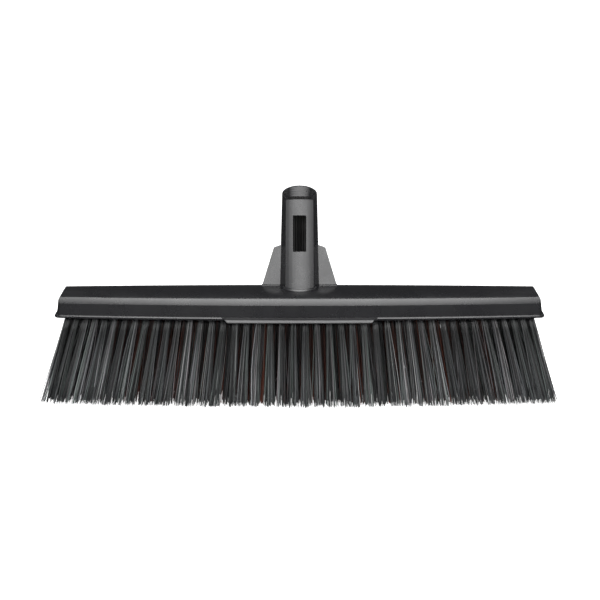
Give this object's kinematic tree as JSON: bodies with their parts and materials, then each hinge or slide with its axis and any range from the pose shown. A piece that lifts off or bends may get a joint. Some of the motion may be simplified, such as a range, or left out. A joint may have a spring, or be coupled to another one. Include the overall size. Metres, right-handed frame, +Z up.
{
  "type": "broom head",
  "caption": "Wide push broom head: crowned plastic housing, leaning oval handle socket with side gussets and a latch window, scraper strip, and fanned bristle rows.",
  "frame": {"origin": "on the floor, at the tip of the middle tuft, under the middle of the head", "axes": "+X along the head to its right seen from the front, +Y to the back, the way the socket leans, +Z up"},
  "size_m": [0.5154, 0.0779, 0.2123],
  "materials": {
    "housing_plastic": "satin, finely textured moulding",
    "scraper_plastic": "satin moulding",
    "block_plastic": "matt moulding",
    "dark_bristle": "extruded filament, soft sheen",
    "mixed_bristle": "extruded filament, black and red-brown mixed",
    "screw_steel": "zinc plated"
  },
  "bodies": {
    "root": {"housing": "housing_plastic", "handle_socket": "housing_plastic", "scraper_strip": "scraper_plastic", "bristle_block": "block_plastic", "tuft_row_1_left": "dark_bristle", "tuft_row_1_middle": "dark_bristle", "tuft_row_1_right": "dark_bristle", "tuft_row_2_left": "mixed_bristle", "tuft_row_2_middle": "mixed_bristle", "tuft_row_2_right": "mixed_bristle", "tuft_row_3_left": "mixed_bristle", "tuft_row_3_middle": "mixed_bristle", "tuft_row_3_right": "mixed_bristle", "tuft_row_4_left": "mixed_bristle", "tuft_row_4_middle": "mixed_bristle", "tuft_row_4_right": "mixed_bristle", "tuft_row_5_left": "dark_bristle", "tuft_row_5_middle": "dark_bristle", "tuft_row_5_right": "dark_bristle", "socket_screw_1": "screw_steel", "socket_screw_2": "screw_steel", "block_screw_1": "screw_steel", "block_screw_2": "screw_steel", "block_screw_3": "screw_steel", "block_screw_4": "screw_steel"}
  },
  "joints": []
}
